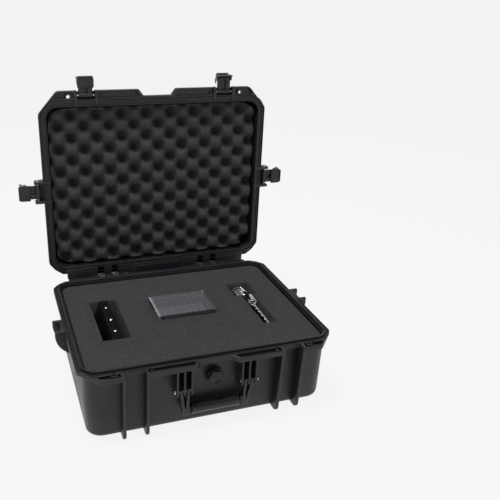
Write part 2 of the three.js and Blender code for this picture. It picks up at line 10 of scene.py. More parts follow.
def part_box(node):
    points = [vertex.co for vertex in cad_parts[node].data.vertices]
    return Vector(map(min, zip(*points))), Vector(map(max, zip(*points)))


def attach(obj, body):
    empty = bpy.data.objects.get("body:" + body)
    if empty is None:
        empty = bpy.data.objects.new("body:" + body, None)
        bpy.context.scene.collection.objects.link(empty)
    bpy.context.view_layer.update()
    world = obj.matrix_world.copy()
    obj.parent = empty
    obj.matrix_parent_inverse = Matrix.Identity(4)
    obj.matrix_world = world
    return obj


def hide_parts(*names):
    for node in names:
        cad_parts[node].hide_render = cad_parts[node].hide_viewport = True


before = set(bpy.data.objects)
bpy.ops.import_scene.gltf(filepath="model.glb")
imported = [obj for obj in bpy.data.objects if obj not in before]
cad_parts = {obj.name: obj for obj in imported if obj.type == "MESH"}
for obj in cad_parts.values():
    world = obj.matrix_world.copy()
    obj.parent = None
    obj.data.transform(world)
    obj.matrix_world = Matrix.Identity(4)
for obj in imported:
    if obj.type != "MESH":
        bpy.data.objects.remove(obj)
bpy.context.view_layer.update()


# ---- the room: floor, sky, lamps and camera ----
# A glowing white floor and a sky that is white at the horizon and dim overhead, with one soft wide
# lamp above and to the left, a weaker one on the right, and one behind that grazes the edges.
scene = bpy.context.scene
scene.view_settings.view_transform = "Standard"
world = bpy.data.worlds.new("white_room")
world.use_nodes = True
sky, sky_links = world.node_tree.nodes, world.node_tree.links
direction = sky.new("ShaderNodeTexCoord")
upwards = sky.new("ShaderNodeSeparateXYZ")
brightness = sky.new("ShaderNodeMapRange")
for socket, value in (("From Min", 0.10), ("From Max", 0.55), ("To Min", 0.915), ("To Max", 0.16)):
    brightness.inputs[socket].default_value = value
sky_links.new(direction.outputs["Generated"], upwards.inputs["Vector"])
sky_links.new(upwards.outputs["Z"], brightness.inputs["Value"])
sky_links.new(brightness.outputs["Result"], sky["Background"].inputs["Color"])
scene.world = world


def linked(name, data):
    thing = bpy.data.objects.new(name, data)
    scene.collection.objects.link(thing)
    return thing


def sweep_material():
    material = bpy.data.materials.new("white_sweep")
    material.use_nodes = True
    shader = material.node_tree.nodes["Principled BSDF"]
    shader.inputs["Base Color"].default_value = (0.05, 0.05, 0.05, 1)
    shader.inputs["Roughness"].default_value = 1.0
    shader.inputs["Specular IOR Level"].default_value = 0.0
    shader.inputs["Emission Color"].default_value = (1, 1, 1, 1)
    shader.inputs["Emission Strength"].default_value = 0.875
    return material


floor_mesh = bpy.data.meshes.new("floor")
floor_mesh.from_pydata([(-60, -9, 0), (60, -9, 0), (60, 90, 0), (-60, 90, 0)], [], [(0, 1, 2, 3)])
floor = linked("floor", floor_mesh)
floor_mesh.materials.append(sweep_material())


def lamp(name, place, towards, width, height, watts):
    data = bpy.data.lights.new(name, "AREA")
    data.shape, data.size, data.size_y, data.energy = "RECTANGLE", width, height, watts
    thing = linked(name, data)
    thing.location = place
    aim = Vector(towards) - Vector(place)
    thing.rotation_euler = aim.to_track_quat("-Z", "Y").to_euler()


lamp("soft_above_left", (-0.45, -0.2, 2.3), (0, 0.05, 0.2), 0.9, 0.8, 50)
lamp("fill_right", (1.9, -0.9, 1.2), (0, 0, 0.3), 1.0, 1.4, 8)
lamp("edge_behind", (0.2, 1.6, 1.9), (0, 0, 0.4), 1.8, 0.5, 10)


def aimed(azimuth, elevation, roll):
    """The camera's axes as columns: right, up and backwards. Forward is the level direction at the
    azimuth, tipped down by the elevation; right and up are then turned about it by the roll."""
    az, el, turn = (math.radians(v) for v in (azimuth, elevation, roll))
    forward = Vector((-math.sin(az) * math.cos(el), math.cos(az) * math.cos(el), -math.sin(el)))
    right = forward.cross(Vector((0, 0, 1))).normalized()
    up = right.cross(forward)
    across = math.cos(turn) * right + math.sin(turn) * up
    upright = -math.sin(turn) * right + math.cos(turn) * up
    return Matrix((across, upright, -forward)).transposed().to_4x4()


camera_data = bpy.data.cameras.new("camera")
camera_data.lens = 46.75
camera_data.sensor_width = 36
camera_data.shift_x = 0.07
camera_data.shift_y = 0.011
camera_data.dof.use_dof = False
camera = linked("camera", camera_data)
camera.matrix_world = Matrix.Translation((-0.3559, -1.17975, 0.7919)) @ aimed(-20.09, 23.61, 1.96)
scene.camera = camera


# ---- base moulding ----
# Injection-moulded black plastic: a tub with a rounded lower edge, a flange round its rim, and fins
# and lugs that grow out of both. The plastic is dark and matte with a fine leathery grain.

# Every piece is drawn in millimetres as it lies in the closed case: X across, Y front to back, Z up
# from the ground, and y = 0 in the middle of the opening. Two packed boxes give the resting place.
MM = 0.001
TONGUE = 3.0  # how far the sealing tongue stands up from the rim
foam_low, foam_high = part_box("foam_insert")
BASE_Y = (foam_low.y + foam_high.y) / 2 / MM  # where the middle of the base's opening stands
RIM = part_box("base_shell")[1].z / MM - TONGUE  # the plane where base and lid part
OPEN_X, OPEN_Y, OPEN_R = 235.0, 180.0, 25.0  # half width, half depth and corner of the opening
FLANGE = 10.0
FRONT = -211.7  # front edge of both flanges
REACH = 269.0  # half width over the side fins and ears
ROOT_Y = 186.0  # where the hinge arms and ledges leave the back wall
HINGE_X, HINGE_Y, HINGE_Z = 120.0, 209.6, 139.0  # the middle of each hinge
KNUCKLE = 7.0  # radius of the hinge knuckles
RIB_X = (130.0, 173.0)
RIB = 6.0  # thickness of the ribs, side fins and ears
LATCH_X = 151.5
EAR_Y = 21.5  # the side fins and ears stand this far either side of the middle
LEAN, FLOOR = 3.0, 1.5  # how far the walls lean in on the way down, and the underside's height
VALVE_Z, SEAT = 104.0, -187.0  # height of the valve, and the face of its boss


def surface(name, colour, roughness, grain=0.8, relief=0.02, speckle=0.0, wear=0.05, **uniform):
    """A material: one colour, a fine grain in relief, and slow changes in how glossy it is.

    Bump height = relief * noise(place / grain), in millimetres. A coarser noise takes the colour
    between colour * (1 - speckle) and colour * (1 + speckle), and a slow one, 60 mm across, takes
    the roughness between roughness - wear and roughness + wear.
    """
    material = bpy.data.materials.new(name)
    material.use_nodes = True
    nodes, links = material.node_tree.nodes, material.node_tree.links
    shader = nodes["Principled BSDF"]
    place = nodes.new("ShaderNodeTexCoord")

    def noise(size_mm, detail):
        node = nodes.new("ShaderNodeTexNoise")
        node.inputs["Scale"].default_value = 1 / (size_mm * MM)
        node.inputs["Detail"].default_value = detail
        links.new(place.outputs["Object"], node.inputs["Vector"])
        return node.outputs["Fac"]

    def ranged(value, low, high):
        node = nodes.new("ShaderNodeMapRange")
        node.inputs["From Min"].default_value = 0.3
        node.inputs["From Max"].default_value = 0.7
        node.inputs["To Min"].default_value = low
        node.inputs["To Max"].default_value = high
        links.new(value, node.inputs["Value"])
        return node.outputs["Result"]

    fine = noise(grain, 3)
    bump = nodes.new("ShaderNodeBump")
    bump.inputs["Distance"].default_value = relief * MM
    links.new(fine, bump.inputs["Height"])
    links.new(bump.outputs["Normal"], shader.inputs["Normal"])
    links.new(ranged(noise(60, 2), roughness - wear, roughness + wear), shader.inputs["Roughness"])
    if speckle:
        tint = nodes.new("ShaderNodeMix")
        tint.data_type = "RGBA"
        dark, light = ([c * f for c in colour] + [1] for f in (1 - speckle, 1 + speckle))
        links.new(ranged(noise(1.6 * grain, 2), 0, 1), tint.inputs["Factor"])
        tint.inputs[6].default_value = dark
        tint.inputs[7].default_value = light
        links.new(tint.outputs[2], shader.inputs["Base Color"])
    else:
        shader.inputs["Base Color"].default_value = (*colour, 1)
    for socket, value in uniform.items():
        shader.inputs[socket.replace("_", " ")].default_value = value
    return material


def rounded_rectangle(half_x, half_y, radius, steps=10):
    """Points round a rectangle with round corners, anticlockwise.

    Each corner is its centre + radius * (cos a, sin a), with a running through a quarter turn.
    """
    quarter = np.linspace(0, math.pi / 2, steps)
    corners = []
    for i, (sx, sy) in enumerate([(1, 1), (-1, 1), (-1, -1), (1, -1)]):
        a = quarter + i * math.pi / 2
        x = sx * (half_x - radius) + radius * np.cos(a)
        y = sy * (half_y - radius) + radius * np.sin(a)
        corners.append(np.column_stack([x, y]))
    return np.concatenate(corners)


def outline(*corners):
    """A closed outline through corners (x, y) or (x, y, radius), each radius an arc between its sides.

    The arc's centre lies on the corner's bisector, radius / sin(half angle) away, and it
    starts and ends radius / tan(half angle) along the two sides.
    """
    points = []
    for i, (x, y, *radius) in enumerate(corners):
        here = np.array([x, y], float)
        if not radius:
            points.append(here)
            continue
        back = np.array(corners[i - 1][:2]) - here
        ahead = np.array(corners[(i + 1) % len(corners)][:2]) - here
        back, ahead = back / np.linalg.norm(back), ahead / np.linalg.norm(ahead)
        half = math.acos(np.clip(back @ ahead, -1, 1)) / 2
        middle = (back + ahead) / np.linalg.norm(back + ahead)
        centre = here + middle * radius[0] / math.sin(half)
        start = here + back * radius[0] / math.tan(half) - centre
        end = here + ahead * radius[0] / math.tan(half) - centre
        first = math.atan2(start[1], start[0])
        sweep = (math.atan2(end[1], end[0]) - first + math.pi) % math.tau - math.pi
        a = first + sweep * np.linspace(0, 1, 6)
        points += list(centre + radius[0] * np.column_stack([np.cos(a), np.sin(a)]))
    points = np.array(points)
    points = points[np.linalg.norm(points - np.roll(points, 1, axis=0), axis=1) > 1e-4]
    x, y = points.T
    area = np.sum(x * np.roll(y, -1) - y * np.roll(x, -1))
    return points if area > 0 else points[::-1]


def circle(x, y, radius, sides=24):
    a = np.arange(sides) * math.tau / sides
    return np.column_stack([x + radius * np.cos(a), y + radius * np.sin(a)])


def moved_in(loop, distance):
    """The loop with every side moved to its left by a distance: each corner moves by
    distance * (n0 + n1) / (1 + n0.n1), where n0 and n1 are the normals of the sides that meet."""
    ahead = np.roll(loop, -1, axis=0) - loop
    ahead = ahead / np.linalg.norm(ahead, axis=1, keepdims=True)
    n1 = np.column_stack([-ahead[:, 1], ahead[:, 0]])
    n0 = np.roll(n1, 1, axis=0)
    return loop + distance * (n0 + n1) / (1 + np.sum(n0 * n1, axis=1, keepdims=True))


def skin(rings, ends="capped"):
    """Quads between neighbouring rings of equal length. The ends are "capped" or left "open", or the
    last ring is joined to the first ("looped")."""
    rings = np.asarray(rings, float)
    count, length, _ = rings.shape
    i, j = np.meshgrid(np.arange(count - (ends != "looped")), np.arange(length), indexing="ij")
    up, on = (i + 1) % count, (j + 1) % length
    corners = [i * length + j, i * length + on, up * length + on, up * length + j]
    faces = np.stack(corners, axis=-1).reshape(-1, 4).tolist()
    if ends == "capped":
        faces.append(list(range(length))[::-1])
        faces.append(list(range((count - 1) * length, count * length)))
    return rings.reshape(-1, 3), faces


def plate(outer, low, high, edge=0.9, holes=()):
    """A flat plate between two heights. Its rims are quarter circles: at an angle a, the outline is
    moved in by edge * (1 - sin a), at a height edge * (1 - cos a) from the face."""
    low_edge, high_edge = edge if isinstance(edge, tuple) else (edge, edge)
    a = np.linspace(0, math.pi / 2, 4)
    insets = np.concatenate([low_edge * (1 - np.sin(a)), high_edge * (1 - np.sin(a[::-1]))])
    rising, falling = low + low_edge * (1 - np.cos(a)), high - high_edge * (1 - np.cos(a[::-1]))
    heights = np.concatenate([rising, falling])
    points, faces, starts, count = [], [], [], 0
    for loop in [outer, *(hole[::-1] for hole in holes)]:
        levels = zip(insets, heights)
        rings = [np.column_stack([moved_in(loop, d), np.full(len(loop), z)]) for d, z in levels]
        ring_points, ring_faces = skin(rings, "open")
        faces += [[v + count for v in face] for face in ring_faces]
        starts.append((count, len(loop)))
        points.append(ring_points)
        count += len(ring_points)
    points = np.concatenate(points)
    for level in (0, len(heights) - 1):
        ends = [np.arange(first + level * n, first + (level + 1) * n) for first, n in starts]
        index = np.concatenate(ends)
        loops = [[Vector(points[v]) for v in end] for end in ends]
        faces += [[int(index[v]) for v in face] for face in tessellate_polygon(loops)]
    return points, faces


def laid(part, axis):
    """A part whose outline was given in (Y, Z) and is carried along X, or in (X, Z) along Y."""
    points, faces = part
    return points[:, [2, 0, 1] if axis == "x" else [0, 2, 1]], faces


def fin(shape, middle, thickness, axis="x", edge=1.1, holes=()):
    return laid(plate(shape, middle - thickness / 2, middle + thickness / 2, edge, holes), axis)


def turned(profile, centre, axis, sides=32, ends="capped"):
    """A body of revolution. The profile's (along, radius) points are swung round the axis: at an
    angle a, the point is centre + along * axis + radius * (cos a, sin a) across it."""
    profile = np.array(profile, float)
    a = np.arange(sides) * math.tau / sides
    along = np.repeat(profile[:, :1], sides, axis=1)
    rings = np.stack([along, profile[:, 1:] * np.cos(a), profile[:, 1:] * np.sin(a)], axis=-1)
    order = {"x": [0, 1, 2], "y": [2, 0, 1], "z": [1, 2, 0]}[axis]
    points, faces = skin(rings, ends)
    return points[:, order] + np.array(centre, float), faces


def rod(axis, centre, radius, length, edge=0.6):
    end, face = length / 2, radius - edge
    profile = [(-end, face), (edge - end, radius), (end - edge, radius), (end, face)]
    return turned(profile, centre, axis, 28)


def block(x, y, z, edge=0.8):
    """A box with rounded upright corners and rims."""
    half_x, half_y = abs(x[1] - x[0]) / 2, abs(y[1] - y[0]) / 2
    loop = rounded_rectangle(half_x, half_y, 1.3 * edge, 3) + ((x[0] + x[1]) / 2, (y[0] + y[1]) / 2)
    return plate(loop, z[0], z[1], edge)


def bead(profile):
    """A ring round the opening: each profile point (distance outwards, height) is carried round."""
    rings = []
    for distance, z in profile:
        corner = max(OPEN_R + distance, 4)
        loop = rounded_rectangle(OPEN_X + distance, OPEN_Y + distance, corner)
        rings.append(np.column_stack([loop, np.full(len(loop), z)]))
    return skin(rings, "looped")


def tub_rings(distance, floor, top, edge, lean):
    """Rings from a flat floor up to the top. The lower edge is a quarter circle, and the walls lean
    in by lean * (top - z) / (top - floor)."""
    a = np.linspace(0, math.pi / 2, 7)
    heights = np.concatenate([floor + edge * (1 - np.cos(a)), np.linspace(floor + edge, top, 4)[1:]])
    insets = np.concatenate([edge * (1 - np.sin(a)), np.zeros(3)])
    rings = []
    for z, inset in zip(heights, insets):
        inward = inset + lean * (top - z) / (top - floor) - distance
        corner = max(OPEN_R + distance - 0.7 * inset, 4)
        loop = rounded_rectangle(OPEN_X - inward, OPEN_Y - inward, corner)
        rings.append(np.column_stack([loop, np.full(len(loop), z)]))
    return rings


def mirrored(part):
    points, faces = part
    return points * (-1, 1, 1), faces


def both_sides(parts):
    """Parts of the right half, and the same mirrored to the left."""
    return [*parts, *(mirrored(part) for part in parts)]


def on_base(points):
    return (points + (0, BASE_Y, 0)) * MM


def make_piece(name, parts, material, body, slot, *stands_for, place=on_base, smooth=32):
    """One object from closed parts, drawn in the closed case's frame and put where it rests."""
    points, faces, count = [], [], 0
    for part_points, part_faces in parts:
        points.append(part_points)
        faces += [[v + count for v in face] for face in part_faces]
        count += len(part_points)
    mesh = bpy.data.meshes.new(name)
    mesh.from_pydata(place(np.concatenate(points)).tolist(), [], faces)
    sorted_out = bmesh.new()
    sorted_out.from_mesh(mesh)
    bmesh.ops.recalc_face_normals(sorted_out, faces=sorted_out.faces)
    sorted_out.to_mesh(mesh)
    sorted_out.free()
    mesh.shade_smooth()
    mesh.set_sharp_from_angle(angle=math.radians(smooth))
    mesh.materials.append(material)
    piece = linked(name, mesh)
    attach(piece, body)
    if stands_for:
        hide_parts(*stands_for)
    return piece


shell_plastic = surface(
    "case_plastic", (0.0095, 0.0098, 0.0125), 0.42, 0.9, 0.03, wear=0.06, Specular_IOR_Level=0.42
)


def flange_outline():
    """Cut corners, a notch for each latch between its two ribs, and a long one in the middle that
    leaves room for the valve and the hand."""
    side, back, notch, inner = OPEN_X + 15.3, OPEN_Y + 15.5, -OPEN_Y - 14.5, 18.5
    right = [
        (side - 27, back, 14),
        (side, back - 27, 14),
        (side, FRONT + 46, 12),
        (side - 39.5, FRONT, 12),
        (LATCH_X + inner, FRONT, 1.2),
        (LATCH_X + inner, notch, 2),
        (LATCH_X - inner, notch, 2),
        (LATCH_X - inner, FRONT, 1.2),
        (40.4, FRONT, 3),
        (30.2, FRONT + 13.7, 3),
    ]
    return outline(*right, *[(-x, y, r) for x, y, r in right[::-1]])


def flange_parts(low, high):
    """The rim's flange, drawn upwards as three plates: a whole one, one with sunken panels, and one
    that also has a sunken band round the opening, in which a rounded ridge runs. A hole for a
    padlock and a small boss stand in the panels on each side."""
    panel_floor, band_floor = low + 4, high - 3
    opening = rounded_rectangle(OPEN_X, OPEN_Y, OPEN_R)
    band = rounded_rectangle(OPEN_X + 13.2, OPEN_Y + 13.2, OPEN_R + 13.2)
    inner, outer = -196.2, -209  # the panels' back and front edges
    corner = outline((177.5, outer, 1.5), (208.5, outer, 1.5), (220, inner, 1.5), (177.5, inner, 1.5))
    long = outline((45, outer, 1.5), (128, outer, 1.5), (128, inner, 1.5), (38, inner, 1.5))
    padlock_holes, panels, collars = [], [], []
    for side in (-1, 1):
        padlock_holes.append(circle(side * 188, FRONT + 12, 3.9))
        panels += [panel if side > 0 else (panel * (-1, 1))[::-1] for panel in (corner, long)]
        for x, radius, rise in ((188, 3.9, high - panel_floor), (121, 1.2, 3)):
            collar = [(-0.1, radius), (rise - 0.4, radius), (rise, radius + 0.5), (rise, radius + 1.8),
                      (rise - 0.6, radius + 2.4), (-0.1, radius + 2.4)]
            collars.append(turned(collar, (side * x, FRONT + 12, panel_floor), "z", 28, "looped"))
    ridge = [(8.6, band_floor - 0.5), (8.6, high - 1.2), (9.3, high - 0.3), (10.7, high - 0.3),
             (11.4, high - 1.2), (11.4, band_floor - 0.5)]
    return [
        plate(flange_outline(), low, panel_floor, (1.1, 0.05), [opening, *padlock_holes]),
        plate(flange_outline(), panel_floor, band_floor, 0.05, [opening, *panels]),
        plate(flange_outline(), band_floor, high, (0.05, 1.1), [band, *panels]),
        bead(ridge),
        *collars,
    ]


front_rib = outline(
    (-OPEN_Y - 1.5, RIM - FLANGE + 1),
    (FRONT + 0.6, RIM - FLANGE + 1),
    (FRONT + 11.2, 0, 12),
    (-OPEN_Y + 10, 0, 1),
    (-OPEN_Y + 6, 4.5),
    (-OPEN_Y, 14),
)
back_rib = outline(
    (OPEN_Y + 1.5, RIM - 22),
    (OPEN_Y, 14),
    (OPEN_Y - 6, 4.5),
    (OPEN_Y - 10, 0, 1),
    (OPEN_Y + 20, 0, 14),
    (OPEN_Y + 20, RIM - 34, 8),
)
handle_fin = outline(
    (-OPEN_Y - 2, RIM - FLANGE + 1),
    (FRONT + 1, RIM - FLANGE + 1),
    (FRONT + 1, 81.5, 6),
    (-OPEN_Y - 18, 81.5, 8),
    (-OPEN_Y - 1.5, 75),
)
# The side fins bulge: a curve through (1 - t)^2 * start + 2 t (1 - t) * pull + t^2 * end.
t = np.linspace(0, 1, 12)[:, None]
bulge = (1 - t) ** 2 * (REACH, RIM - 14) + 2 * t * (1 - t) * (266, RIM - 42) + t**2 * (237, RIM - 55)
side_fin = outline((237, RIM - 0.6), (REACH, RIM - 0.6, 1.5), *[tuple(p) for p in bulge])
base_arm = outline(
    (ROOT_Y, RIM - 10),
    (HINGE_Y, HINGE_Z - KNUCKLE),
    (HINGE_Y, RIM - 0.3, 1),
    (ROOT_Y, RIM - 0.3),
)

tub = tub_rings(5, FLOOR, RIM - 2, 12, LEAN) + tub_rings(0.5, FLOOR + 4.5, RIM - 2, 8, LEAN)[::-1]
base_parts = [skin(tub), *flange_parts(RIM - FLANGE, RIM)]
tongue = [(2.5, RIM - 4), (6.5, RIM - 4), (6.5, RIM + 1.8), (5.6, RIM + TONGUE), (3.4, RIM + TONGUE),
          (2.5, RIM + 1.8)]
base_parts.append(bead(tongue))
one_side = []
for x in RIB_X:
    one_side += [fin(front_rib, x, RIB), fin(back_rib, x, RIB)]
for x in (49, 63, 76.5):
    one_side.append(fin(handle_fin, x, 4, edge=0.8))
for y in (-EAR_Y, EAR_Y):
    one_side.append(fin(side_fin, y, RIB, "y"))
one_side.append(block((238, 255.5), (-21, 21), (RIM - FLANGE, RIM - 0.5), 1))
for offset in (-32, 0, 32):
    one_side.append(fin(base_arm, HINGE_X + offset, 16, edge=0.6))
    one_side.append(rod("x", (HINGE_X + offset, HINGE_Y, HINGE_Z), KNUCKLE, 16, 0.8))
for ledge in ((55, 79.4), (160.6, 212)):
    one_side.append(block(ledge, (ROOT_Y, 206), (RIM - FLANGE, RIM - 0.3), 1))
base_parts += both_sides(one_side)
base_parts.append(block((-56, 56), (ROOT_Y, 204), (RIM - FLANGE, RIM - 1.2), 1))
base_parts.append(turned([(5, 17), (0.6, 17.4), (0, 16.8)], (0, SEAT, VALVE_Z), "y", 40))
make_piece("base_moulding", base_parts, shell_plastic, "base", "shell", "base_shell")


# ---- hinge pins ----
# Two darkened steel rods, each pushed through the five knuckles of one hinge.
dark_steel = surface("dark_steel", (0.08, 0.08, 0.084), 0.45, 0.4, 0.004, Metallic=1.0)
for side, name in ((-1, "left"), (1, "right")):
    hinge_rod = rod("x", (side * HINGE_X, HINGE_Y, HINGE_Z), 2.5, 82, 0.5)
    make_piece(f"hinge_rod_{name}", [hinge_rod], dark_steel, "base", "pin", f"hinge_pin_{name}")


# ---- foam in the base ----
# Soft dark grey foam in two layers: a plain pad on the floor, and over it a block cut with three
# pockets. It is cut a little small, so a dark gap runs round it.
FOAM_TOP = 140.0
foam_grey = surface(
    "foam", (0.039, 0.039, 0.041), 1.0, 1.3, 0.45, speckle=0.42, wear=0.0, Specular_IOR_Level=0.12
)


def pocketed_block(rings, pockets, top):
    """A block that narrows downwards along its rings, with pockets sunk into a flat top.

    Each pocket is (outline, depth). Its walls go straight down, and its rim is a small round.
    """
    points, faces = skin(rings, "open")
    faces.append(list(range(len(rings[0]))))
    points, count = list(points), len(points)
    loops = [np.arange(count - len(rings[0]), count)]
    for shape, depth in pockets:
        levels = [(0, top), (-0.8, top - 0.9), (-0.8, top - depth)]
        pocket = [np.column_stack([moved_in(shape, -d), np.full(len(shape), z)]) for d, z in levels]
        pocket_points, pocket_faces = skin(pocket, "open")
        faces += [[v + count for v in face] for face in pocket_faces]
        loops.append(np.arange(count, count + len(shape)))
        points += list(pocket_points)
        count += len(pocket_points)
        bottom = np.arange(count - len(shape), count)
        flat = tessellate_polygon([[Vector(points[v]) for v in bottom]])
        faces += [[int(bottom[v]) for v in face] for face in flat]
    index = np.concatenate(loops)
    flat = tessellate_polygon([[Vector(points[v]) for v in loop] for loop in loops])
    faces += [[int(index[v]) for v in face] for face in flat]
    return np.array(points), faces


def leaning(z):
    return LEAN * (RIM - z) / (RIM - FLOOR)


def foam_ring(z, inset):
    inward = leaning(z) + inset
    loop = rounded_rectangle(OPEN_X - inward, OPEN_Y - inward, OPEN_R - 4, 8)
    return np.column_stack([loop, np.full(len(loop), z)])


pad_levels = ((6.8, 9), (9, 4), (16, 2.4), (63.5, 2), (65.6, 3.4))
pad_rings = [foam_ring(z, inset) for z, inset in pad_levels]
foam_pad = make_piece("foam_pad_soft", [skin(pad_rings)], foam_grey, "base", "foam", "foam_pad")

left_pocket = outline((-185.5, -72.5, 2), (-128.5, -72.5, 2), (-128.5, 92.5, 2), (-185.5, 92.5, 2))
box_pocket = outline((-63.2, -24.7, 1.5), (63.2, -24.7, 1.5), (63.2, 66.7, 1.5), (-63.2, 66.7, 1.5))
tool_pocket = outline(
    (139.5, -93.5, 2), (170.5, -93.5, 2), (170.5, 35.5, 2), (179.5, 35.5, 2), (179.5, 96.5, 2),
    (124.5, 96.5, 2), (124.5, 35.5, 2), (139.5, 35.5, 2),
)
pockets = [(left_pocket, 62), (box_pocket, 31.5), (tool_pocket, 44)]
layer_levels = ((66.2, 3), (69, 2), (FOAM_TOP - 2, 2), (FOAM_TOP, 3.2))
layer_rings = [foam_ring(z, inset) for z, inset in layer_levels]
cut_foam = pocketed_block(layer_rings, pockets, FOAM_TOP)
foam_layer = make_piece("foam_layer_soft", [cut_foam], foam_grey, "base", "foam", "foam_insert",
                        smooth=50)


# ---- pressure valve ----
# A plastic stem through the front wall: a round flange on a rubber washer outside, a
# six-sided nut inside, and a six-sided cap that is turned by hand.
latch_plastic = surface(
    "latch_plastic", (0.009, 0.0092, 0.011), 0.34, 0.7, 0.012, wear=0.05, Specular_IOR_Level=0.42
)
seal_rubber = surface("seal_rubber", (0.009, 0.009, 0.0095), 0.6, 0.5, 0.01)


def hexagon(y0, y1, reach, edge, hollow=None):
    """A six-sided plate round the valve's axis, reach from the middle to its corners."""
    turns = [k * math.pi / 3 for k in range(6)]
    loop = outline(*[(reach * math.cos(turn), reach * math.sin(turn), 1.5) for turn in turns])
    holes = [circle(0, 0, hollow, 32)] if hollow else []
    points, faces = laid(plate(loop, y0, y1, edge, holes), "y")
    return points + (0, 0, VALVE_Z), faces


body_profile = [(SEAT - 1.8, 9.6), (SEAT - 1.8, 15.4), (SEAT - 2.6, 16), (SEAT - 6.6, 16),
                (SEAT - 7.8, 14.9), (SEAT - 7.8, 5), (SEAT + 14.8, 5), (SEAT + 14.8, 8.9),
                (SEAT - 1.8, 8.9)]
make_piece("valve_stem", [turned(body_profile, (0, 0, VALVE_Z), "y", 48, "looped")], latch_plastic,
           "base", "latch", "valve_body")
washer = [(SEAT - 0.3, 9.6), (SEAT - 0.3, 14.9), (SEAT - 1.5, 14.9), (SEAT - 1.5, 9.6)]
make_piece("valve_washer", [turned(washer, (0, 0, VALVE_Z), "y", 48, "looped")], seal_rubber,
           "base", "seal", "valve_seal")
make_piece("valve_back_nut", [hexagon(SEAT + 10.6, SEAT + 14.4, 13.4, 0.5, 9.2)], latch_plastic,
           "base", "latch", "valve_nut")
CAP = SEAT - 15.4  # the cap's outer face
cap_rings = []
for radius in (12.6, 9.2, 5.6):
    ring = [(CAP + 0.3, radius), (CAP - 0.9, radius - 0.3), (CAP - 0.9, radius - 1.4),
            (CAP + 0.3, radius - 1.7)]
    cap_rings.append(turned(ring, (0, 0, VALVE_Z), "y", 40, "looped"))
cap_stem = rod("y", (0, SEAT - 4, VALVE_Z), 4.5, 13.8, 0.4)
make_piece("valve_cap", [hexagon(CAP, SEAT - 8.4, 15.4, 1.4), cap_stem, *cap_rings], latch_plastic,
           "valve_knob", "latch", "valve_knob")


# ---- carrying handle ----
# A moulded bail: a forked arm at each end swings on a steel pin through three fins, and a rubber
# grip with fine ribs is moulded over the bar between them.
grip_rubber = surface("grip_rubber", (0.012, 0.012, 0.0125), 0.3, 0.8, 0.008, wear=0.04)
steel = surface("pin_steel", (0.45, 0.46, 0.48), 0.33, 0.4, 0.004, Metallic=1.0)
HANDLE_Y, HANDLE_Z, GRIP_Y, GRIP_Z = -206.0, 92.0, -197.0, 45.0
EYE_R, BAR_R = 4.9, 7.8  # radius of the arms at the pin and at the bar
half_turn = np.linspace(0, math.pi, 9)
over, along = np.sin(half_turn), np.cos(half_turn)
arm_shape = np.vstack([
    np.column_stack([HANDLE_Y + EYE_R * along, HANDLE_Z + EYE_R * over]),
    np.column_stack([GRIP_Y - BAR_R * along, GRIP_Z - 3 - BAR_R * over]),
])
eye = circle(HANDLE_Y, HANDLE_Z, 2.5, 16)
bail = []
for x, lean in ((56, 0), (69.75, 0.15)):
    points, faces = fin(arm_shape, x, 5.8, edge=1.2, holes=[eye])
    points[:, 0] -= lean * (HANDLE_Z - points[:, 2])  # the outer prong leans in to meet the inner one
    bail.append((points, faces))
    collar = [(-3.4, 2.5), (-3.4, 4.4), (3.4, 4.4), (3.4, 2.5)]
    bail.append(turned(collar, (x, HANDLE_Y, HANDLE_Z), "x", 24, "looped"))
yoke = block((48.6, 65.2), (GRIP_Y - BAR_R, GRIP_Y + BAR_R), (GRIP_Z - 9.2, GRIP_Z + 9), 2.4)
rail = rod("x", (0, GRIP_Y, GRIP_Z), 4.9, 104, 0.3)
make_piece("handle_bail", [*both_sides([*bail, yoke]), rail], latch_plastic,
           "handle", "latch", "handle_frame")

grip_profile = [(-47.3, 5.3), (-47.3, 9.6), (-46.2, 11.3), (-42.6, 11.4), (-41.4, 9.8)]
for k in range(25):
    x = -38.4 + 3.2 * k
    grip_profile += [(x - 1.3, 9.9), (x - 0.8, 10.7), (x + 0.8, 10.7), (x + 1.3, 9.9)]
grip_profile += [(41.4, 9.8), (42.6, 11.4), (46.2, 11.3), (47.3, 9.6), (47.3, 5.3)]
grip = turned(grip_profile, (0, GRIP_Y, GRIP_Z), "x", 40, "looped")
make_piece("ribbed_grip", [grip], grip_rubber, "handle", "grip", "handle_grip", smooth=50)
for side, name in ((-1, "left"), (1, "right")):
    shaft = rod("x", (side * 63, HANDLE_Y, HANDLE_Z), 2.2, 34, 0.4)
    head = rod("x", (side * 80.9, HANDLE_Y, HANDLE_Z), 4, 3.6, 1.1)
    make_piece(f"handle_pin_round_{name}", [shaft, head], steel, "base", "pin", f"handle_pin_{name}")


# ---- lid moulding ----
# The same plastic as the base: a shallower tub and flange, ribs that run over it in line with the
# base's, ears that carry the latch pins, and a groove in the rim for the seal.
def opened(points):
    """Closed case to open case: the lid turned back a quarter turn about the hinge pins, so that
    (x, y, z) goes to (x, hinge y + (z - hinge z), hinge z - (y - hinge y))."""
    x, y, z = np.asarray(points).T
    return on_base(np.column_stack([x, HINGE_Y + z - HINGE_Z, HINGE_Z - y + HINGE_Y]))


def overturned(part):
    """A part drawn on the base's side of the parting plane, turned over on to the lid's side."""
    points, faces = part
    return points * (1, 1, -1) + (0, 0, 2 * RIM), faces


